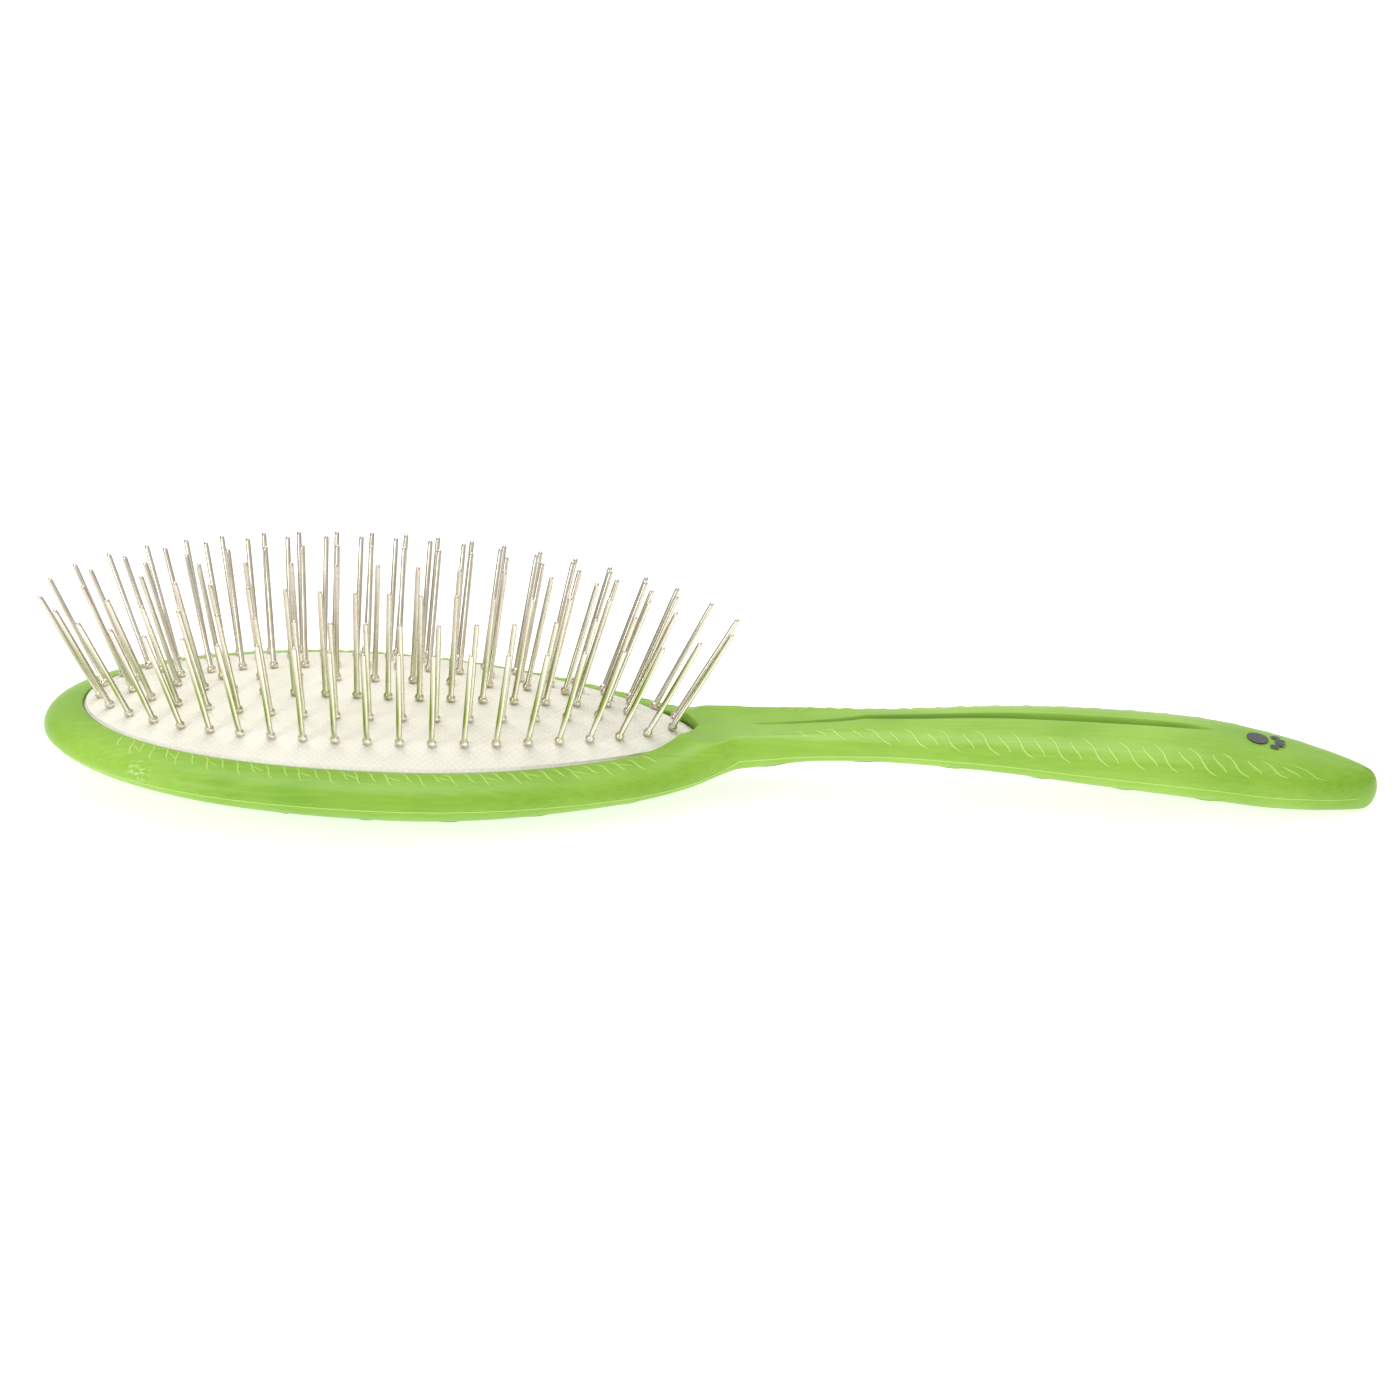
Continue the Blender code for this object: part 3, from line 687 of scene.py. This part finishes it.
# Each pad's place ahead and aside, and its half-length and half-width
PAW_PADS = [(0.0, 0.0, 1.9, 2.3), (3.0, -2.2, 0.85, 0.7), (3.9, -0.75, 0.95, 0.72),
            (3.9, 0.75, 0.95, 0.72), (3.0, 2.2, 0.85, 0.7)]


def skin_height(px, py):
    """Height of the plain upper surface over a point near the middle of the grip."""
    share = 1 - abs(py) / body_half_width(px)
    way = body_edge.way_at(px)
    return top_skin(way, body_edge.ray(way)[3] * share)[2]


bm = bmesh.new()
for ahead, aside, half_long, half_wide in PAW_PADS:
    before = len(bm.verts)
    made = bmesh.ops.create_circle(bm, cap_ends=True, cap_tris=False, segments=PAW_CORNERS, radius=1.0)
    face = made["verts"][0].link_faces[0]
    for _ in range(2):
        bmesh.ops.inset_region(bm, faces=[face], thickness=0.3, use_even_offset=True)
    bm.verts.ensure_lookup_table()
    for corner in bm.verts[before:]:
        px = PAW_X + ahead + corner.co.x * half_long
        py = aside + corner.co.y * half_wide
        lift = INK_EDGE_LIFT if corner in made["verts"] else INK_LIFT + INK_EDGE_LIFT
        corner.co = Vector(placed([px, py, float(skin_height(px, py)) + lift]))
ink, tree, shader, add = new_finish("dark_printing_ink")
where = add("ShaderNodeTexCoord").outputs["Object"]
speckle = add("ShaderNodeTexNoise", {"Vector": where, "Scale": 5200.0, "Detail": 2.0}).outputs[0]
tint = mixed(add, ramp(add, speckle, 0.35, 0.75), BLACK_INK, WORN_INK)
tree.links.new(tint, shader.inputs["Base Color"])
shader.inputs["Roughness"].default_value = 0.55
paw = piece_from(bm, "printed_paw_mark", ink)
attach(paw, "handle")

# ---------------------------------------------------------------------------------------------
# Rubber cushion: a domed diaphragm of cream natural rubber, moulded against cloth, with a lip
# that snaps into the groove under the rim. It rises a little round each pin's collar.
RUBBER_THICKNESS = 1.2
EDGE_TUCK = 0.45
EDGE_TUCK_REACH = 2.0
MIDDLE_SOFTENING = 0.16
GAP = 0.3
CUSHION_COLUMNS = 236
SHORTEST_RAY = 0.5
DOME_ROWS = 84
DOME_ROWS_REACH = 0.975
DOME_LOWEST = -0.46
UNDERSIDE_ROWS = 16
SEAT_REACH = 2.2
PUCKER_RISE = 0.16
PUCKER_RISE_REACH = 0.9
PUCKER_DIP = 0.10
PUCKER_DIP_REACH = 1.9

# From the opening's edge towards the middle, and height: the turn at the edge and the lip in its groove
CUSHION_LIP = [(0.60, -0.50), (0.44, -0.56), (0.35, -0.66), (GAP, -0.85), (GAP, GROOVE_TOP - GAP),
               (GAP - GROOVE_DEPTH, GROOVE_TOP - GAP), (GAP - GROOVE_DEPTH, GROOVE_BOTTOM + GAP),
               (GAP + RUBBER_THICKNESS, GROOVE_BOTTOM + GAP)]

# The rings of pins: centre, half-length, half-width, and the pins in each bank from the free end
PIN_RINGS = [
    ("outer", -0.6, 50.3, 21.5, [3, 4, 4, 4, 3, 3]),
    ("middle", -1.6, 44.0, 14.4, [4, 5, 4, 4]),
    ("inner", 0.3, 39.0, 7.2, [5, 5, 5]),
]
RING_SAMPLES = 401


def ring_places(centre, half_length, half_width, count):
    """Evenly spaced pins on one side of a ring, from the free end to the handle."""
    turn = np.linspace(0.0, math.pi, RING_SAMPLES)
    x = -half_length * np.cos(turn)
    y = egg(x, half_length, half_width)
    walk = np.concatenate([[0.0], np.cumsum(np.hypot(np.diff(x), np.diff(y)))])
    wanted = walk[-1] * (np.arange(count) + 0.5) / count
    return centre + np.interp(wanted, walk, x), np.interp(wanted, walk, y)


banks = {}
for ring, centre, half_length, half_width, sizes in PIN_RINGS:
    xs, ys = ring_places(centre, half_length, half_width, sum(sizes))
    for side_name, side in (("near", -1), ("far", 1)):
        first = 0
        for number, size in enumerate(sizes, 1):
            group = range(first, first + size)
            banks[f"{ring}_{side_name}_{number}"] = [seat(xs[k], side * ys[k]) for k in group]
            first += size
half_row = CENTRE_ROW_PINS // 2
banks["centre_1"] = [seat(x, 0.0) for x in centre_row_x[:half_row]]
banks["centre_2"] = [seat(x, 0.0) for x in centre_row_x[half_row:]]
seats = np.array([base for group in banks.values() for base in group])


def rubber_rows(shares, drop):
    """Rows of the dome at shares of the way to its middle line, with the middle ridge rounded."""
    rows = []
    for share in shares:
        past = max(0.0, share - (1 - MIDDLE_SOFTENING))
        eased = share - past ** 2 / (2 * MIDDLE_SOFTENING)
        inset = reach * share
        tuck = EDGE_TUCK * np.exp(-inset / EDGE_TUCK_REACH)
        z = dome_height(reach * eased, x + (middle - x) * share) - drop - tuck
        rows.append(np.stack([x + (middle - x) * share, y * (1 - share), z], -1))
    return rows


ways = np.linspace(0.0, opening_edge.length, CUSHION_COLUMNS)
x, y, middle, reach = opening_edge.ray(ways)
reach = np.maximum(reach, SHORTEST_RAY)
rows = rubber_rows(1 - np.linspace(0.0, DOME_ROWS_REACH, DOME_ROWS), DOME_SINK)
for inset, z in CUSHION_LIP:
    share = inset / reach
    rows.append(np.stack([x + (middle - x) * share, y * (1 - share), np.full_like(x, z)], -1))
rows += rubber_rows(np.linspace(0.1, 1.0, UNDERSIDE_ROWS), DOME_SINK + RUBBER_THICKNESS)
loop = both_sides(np.stack(rows, 1))
upper = loop[:, :DOME_ROWS]
flat = upper.reshape(-1, 3)
flat[:, 2] = np.maximum(flat[:, 2], DOME_LOWEST)
for base in seats:
    away = np.hypot(flat[:, 0] - base[0], flat[:, 1] - base[1])
    short = base[2] - flat[np.argmin(away), 2]
    rise = PUCKER_RISE * np.exp(-(away / PUCKER_RISE_REACH) ** 2)
    dip = PUCKER_DIP * np.exp(-(away / PUCKER_DIP_REACH) ** 2)
    flat[:, 2] += short * np.exp(-(away / SEAT_REACH) ** 2) + (rise - dip)
loop[:, :DOME_ROWS] = flat.reshape(upper.shape)
bm = bmesh.new()
laid_grid(bm, placed(loop))

CREAM_SHADE = (0.76, 0.725, 0.61, 1)
CREAM = (0.86, 0.84, 0.75, 1)
CLOTH_TURN = 0.72
CLOTH_THREADS = 350.0
rubber, tree, shader, add = new_finish("cream_cloth_marked_rubber")
where = add("ShaderNodeTexCoord").outputs["Object"]
turned = add("ShaderNodeMapping", {"Vector": where, "Rotation": (0.0, 0.0, CLOTH_TURN)}).outputs[0]
weave = []
for direction in ("X", "Y"):
    weave.append(add("ShaderNodeTexWave", {"Vector": turned, "Scale": CLOTH_THREADS, "Distortion": 0.6,
                                           "Detail": 1.0, "Detail Scale": 1.5},
                     bands_direction=direction).outputs[1])
cloth = product(add, *weave)
lumps = add("ShaderNodeTexNoise", {"Vector": where, "Scale": 1500.0, "Detail": 3.0}).outputs[0]
cloth = add("ShaderNodeMath", {0: lumps, 1: 0.5, 2: cloth}, operation="MULTIPLY_ADD").outputs[0]
patches = add("ShaderNodeTexNoise", {"Vector": where, "Scale": 90.0, "Detail": 4.0}).outputs[0]
tone = product(add, patches, 0.7)
tone = add("ShaderNodeMath", {0: cloth, 1: 0.25, 2: tone}, operation="MULTIPLY_ADD").outputs[0]
colour = mixed(add, ramp(add, tone, 0.25, 0.7), CREAM_SHADE, CREAM)
rough = ramp(add, cloth, 0.0, 1.0, 0.78, 0.66)
bump = add("ShaderNodeBump", {"Height": cloth, "Strength": 0.6, "Distance": 0.0001})
tree.links.new(colour, shader.inputs["Base Color"])
tree.links.new(rough, shader.inputs["Roughness"])
tree.links.new(bump.outputs[0], shader.inputs["Normal"])
shader.inputs["Specular IOR Level"].default_value = 0.3
shader.inputs["Sheen Weight"].default_value = 0.12
shader.inputs["Sheen Roughness"].default_value = 0.5
shader.inputs["Subsurface Weight"].default_value = 0.12
shader.inputs["Subsurface Radius"].default_value = (1.0, 0.8, 0.5)
shader.inputs["Subsurface Scale"].default_value = 0.0012
pad = piece_from(bm, "rubber_pad", rubber)
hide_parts("rubber_cushion")
tuple(placed([0.0, 0.0, -0.6]))
tuple(placed([0.0, 0.0, 1.9]))
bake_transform(pad)

# ---------------------------------------------------------------------------------------------
# Steel pins: drawn nickel-plated wire with an upset collar that sits on the rubber, a flat foot
# below it and a rounded tip. Each bank of neighbours tilts together, so each is one piece.
PIN_SIDES = 10

# Radius and height above the rubber, from the foot up to the tip
PIN_PROFILE = [(0.0, -1.85), (0.78, -1.85), (0.78, -1.6), (0.48, -1.5), (0.48, 0.05), (0.7, 0.2),
               (0.84, 0.55), (0.82, 0.85), (0.6, 1.15), (0.5, 1.3), (0.48, 20.8), (0.4, 21.25),
               (0.22, 21.46), (0.0, 21.5)]

# Pins lean outwards, more the further they stand from the middle
MOST_SIDE_LEAN = math.radians(25.0)
SIDE_LEAN_REACH = 13.0
MOST_END_LEAN = math.radians(28.0)
END_LEAN_REACH = 48.0
END_LEAN_CURVE = 1.6
LEAN_SCATTER = 0.45

NICKEL_SHADE = (0.80, 0.73, 0.60, 1)
NICKEL = (0.94, 0.885, 0.77, 1)
# Painted dark reflection down the shanks' sides, and the painted reflection of the green rim with its
# place on the pins
NICKEL_PAINTED_DARK_REFLECTION = (0.44, 0.39, 0.30, 1)
RIM_REFLECTION = (0.24, 0.31, 0.06, 1)
REFLECTION_RISE = (0.0155, 0.019)
REFLECTION_FALL = (0.022, 0.031)
REFLECTION_ACROSS = (-0.012, 0.006)

pin = bmesh.new()
corners = [pin.verts.new((radius * MM, 0.0, z * MM)) for radius, z in PIN_PROFILE]
outline = [pin.edges.new(pair) for pair in zip(corners, corners[1:])]
bmesh.ops.spin(pin, geom=corners + outline, cent=(0, 0, 0), axis=(0, 0, 1), angle=math.tau,
               steps=PIN_SIDES, use_merge=True)
bmesh.ops.remove_doubles(pin, verts=pin.verts, dist=0.001 * MM)
bmesh.ops.recalc_face_normals(pin, faces=pin.faces)
pin_mesh = bpy.data.meshes.new("one_pin")
pin.to_mesh(pin_mesh)
pin.free()

steel, tree, shader, add = new_finish("nickel_plated_wire")
where = add("ShaderNodeTexCoord").outputs["Object"]
drawn = add("ShaderNodeMapping", {"Vector": where, "Scale": (2600, 2600, 90)}).outputs[0]
lines = add("ShaderNodeTexNoise", {"Vector": drawn, "Scale": 1.0, "Detail": 4.0}).outputs[0]
patches = add("ShaderNodeTexNoise", {"Vector": where, "Scale": 180.0, "Detail": 3.0}).outputs[0]
colour = mixed(add, ramp(add, patches, 0.35, 0.65), NICKEL_SHADE, NICKEL)

# Painted reflections: the shanks are painted darker down both sides, as dark reflections of the room, and
# low on the left side they get a painted reflection of the green rim, most strongly on the pins nearest
# to it
facing = add("ShaderNodeTexCoord").outputs["Normal"]
sideways = add("ShaderNodeSeparateXYZ", {0: facing}).outputs[0]
# Masks for the painted dark reflections on the shanks' two sides
left = ramp(add, sideways, 0.45, -0.1)
right = ramp(add, sideways, 0.6, 0.95, 0.0, 0.6)
painted_streak_share = add("ShaderNodeMath", {0: left, 1: right}, operation="ADD").outputs[0]
colour = mixed(add, product(add, painted_streak_share, 0.55), colour, NICKEL_PAINTED_DARK_REFLECTION)
split = add("ShaderNodeSeparateXYZ", {0: where})
across, height = split.outputs[1], split.outputs[2]
mirrored = ramp(add, height, *REFLECTION_RISE)
mirrored = product(add, mirrored, ramp(add, height, *REFLECTION_FALL, 1.0, 0.0))
mirrored = product(add, mirrored, ramp(add, across, *REFLECTION_ACROSS, 1.0, 0.1))
mirrored = product(add, mirrored, left)
colour = mixed(add, mirrored, colour, RIM_REFLECTION)
rough = ramp(add, lines, 0.3, 0.7, 0.13, 0.26)
bump = add("ShaderNodeBump", {"Height": lines, "Strength": 0.05, "Distance": 0.00001})
tree.links.new(colour, shader.inputs["Base Color"])
tree.links.new(rough, shader.inputs["Roughness"])
tree.links.new(bump.outputs[0], shader.inputs["Normal"])
shader.inputs["Metallic"].default_value = 1.0

for bank, group in banks.items():
    bm = bmesh.new()
    for base in group:
        lean_side = MOST_SIDE_LEAN * math.tanh(base[1] / SIDE_LEAN_REACH)
        lean_end = MOST_END_LEAN * (abs(base[0]) / END_LEAN_REACH) ** END_LEAN_CURVE
        lean_end = math.copysign(lean_end, base[0])
        lean_side += math.radians(dice.gauss(0.0, LEAN_SCATTER))
        lean_end += math.radians(dice.gauss(0.0, LEAN_SCATTER))
        level = np.array([math.tan(lean_end), math.tan(lean_side), 1.0])
        direction = Vector(tip_back @ level).normalized()
        turn = direction.to_track_quat("Z", "Y").to_matrix().to_4x4()
        before = len(bm.verts)
        bm.from_mesh(pin_mesh)
        bm.verts.ensure_lookup_table()
        bmesh.ops.transform(bm, matrix=Matrix.Translation(placed(base)) @ turn, verts=bm.verts[before:])
    wires = piece_from(bm, f"wire_pins_{bank}", steel)
    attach(wires, f"{bank}_bank")
    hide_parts(f"pins_{bank}")

# ---------------------------------------------------------------------------------------------
# Studio: a pale table top, a broad soft light overhead and a weaker one from the front left. The
# bright room's darker side walls draw dark lines down the shiny pins. The camera looks down on the
# near side of the brush.
TABLE_HALF_SIZE = 4.0
TABLE_CLEARANCE = 0.0002
TABLE_SHADE = (0.62, 0.62, 0.615, 1)
TABLE_WHITE = (0.66, 0.66, 0.655, 1)
TABLE_GLOW = 1.15
ROOM_BRIGHTNESS = 0.78
SIDE_WALL_BRIGHTNESS = 0.4

bm = bmesh.new()
bmesh.ops.create_grid(bm, x_segments=8, y_segments=8, size=TABLE_HALF_SIZE,
                      matrix=Matrix.Translation((0.0, 0.0, cad_box[0][2] - TABLE_CLEARANCE)))
floor_finish, tree, shader, add = new_finish("pale_table_top")
where = add("ShaderNodeTexCoord").outputs["Object"]
mottle = add("ShaderNodeTexNoise", {"Vector": where, "Scale": 30.0, "Detail": 3.0}).outputs[0]
pale = mixed(add, mottle, TABLE_SHADE, TABLE_WHITE)
tree.links.new(pale, shader.inputs["Base Color"])
tree.links.new(pale, shader.inputs["Emission Color"])
shader.inputs["Emission Strength"].default_value = TABLE_GLOW
shader.inputs["Roughness"].default_value = 0.8
shader.inputs["Specular IOR Level"].default_value = 0.1
floor = piece_from(bm, "table_top", floor_finish)

world = bpy.data.worlds.new("bright_room")
world.use_nodes = True
tree = world.node_tree
facing = tree.nodes.new("ShaderNodeTexCoord")
split = tree.nodes.new("ShaderNodeSeparateXYZ")
sideways = tree.nodes.new("ShaderNodeMath")
sideways.operation = "ABSOLUTE"
walls = tree.nodes.new("ShaderNodeMapRange")
walls.inputs["From Min"].default_value = 0.45
walls.inputs["From Max"].default_value = 0.85
walls.inputs["To Min"].default_value = ROOM_BRIGHTNESS
walls.inputs["To Max"].default_value = SIDE_WALL_BRIGHTNESS
tree.links.new(facing.outputs["Generated"], split.inputs[0])
tree.links.new(split.outputs[0], sideways.inputs[0])
tree.links.new(sideways.outputs[0], walls.inputs["Value"])
tree.links.new(walls.outputs[0], tree.nodes["Background"].inputs["Strength"])
tree.nodes["Background"].inputs["Color"].default_value = (1.0, 1.0, 1.0, 1.0)
bpy.context.scene.world = world
bpy.context.scene.view_settings.view_transform = "Standard"


def soft_light(name, place, aim, size, power):
    lamp = bpy.data.lights.new(name, "AREA")
    lamp.shape = "DISK"
    lamp.size = size
    lamp.energy = power
    holder = bpy.data.objects.new(name, lamp)
    bpy.context.scene.collection.objects.link(holder)
    holder.location = place
    holder.rotation_euler = (Vector(aim) - Vector(place)).to_track_quat("-Z", "Y").to_euler()


soft_light("overhead", place=(-0.10, 0.10, 0.9), aim=(0.0, 0.0, 0.0), size=0.7, power=4.6)
soft_light("front_left", place=(-0.7, -0.8, 0.5), aim=(0.0, 0.0, 0.02), size=0.5, power=3.2)

VIEW_HEIGHT = math.radians(20.757)
VIEW_ROUND = math.radians(4.803)
AIM_RIGHT = -0.00133
AIM_UP = 0.01511
FRAME_WIDTH = 0.2427
SENSOR = 36.0
LENS = 210.0
ahead = Vector((-math.sin(VIEW_ROUND) * math.cos(VIEW_HEIGHT),
                math.cos(VIEW_ROUND) * math.cos(VIEW_HEIGHT), -math.sin(VIEW_HEIGHT)))
right = Vector((math.cos(VIEW_ROUND), math.sin(VIEW_ROUND), 0.0))
above = right.cross(ahead)
aim = right * AIM_RIGHT + above * AIM_UP
lens = bpy.data.cameras.new("camera")
lens.sensor_width = SENSOR
lens.lens = LENS
lens.clip_end = 20.0
camera = bpy.data.objects.new("camera", lens)
bpy.context.scene.collection.objects.link(camera)
camera.location = aim - ahead * FRAME_WIDTH * LENS / SENSOR
camera.rotation_euler = ahead.to_track_quat("-Z", "Y").to_euler()
bpy.context.scene.camera = camera
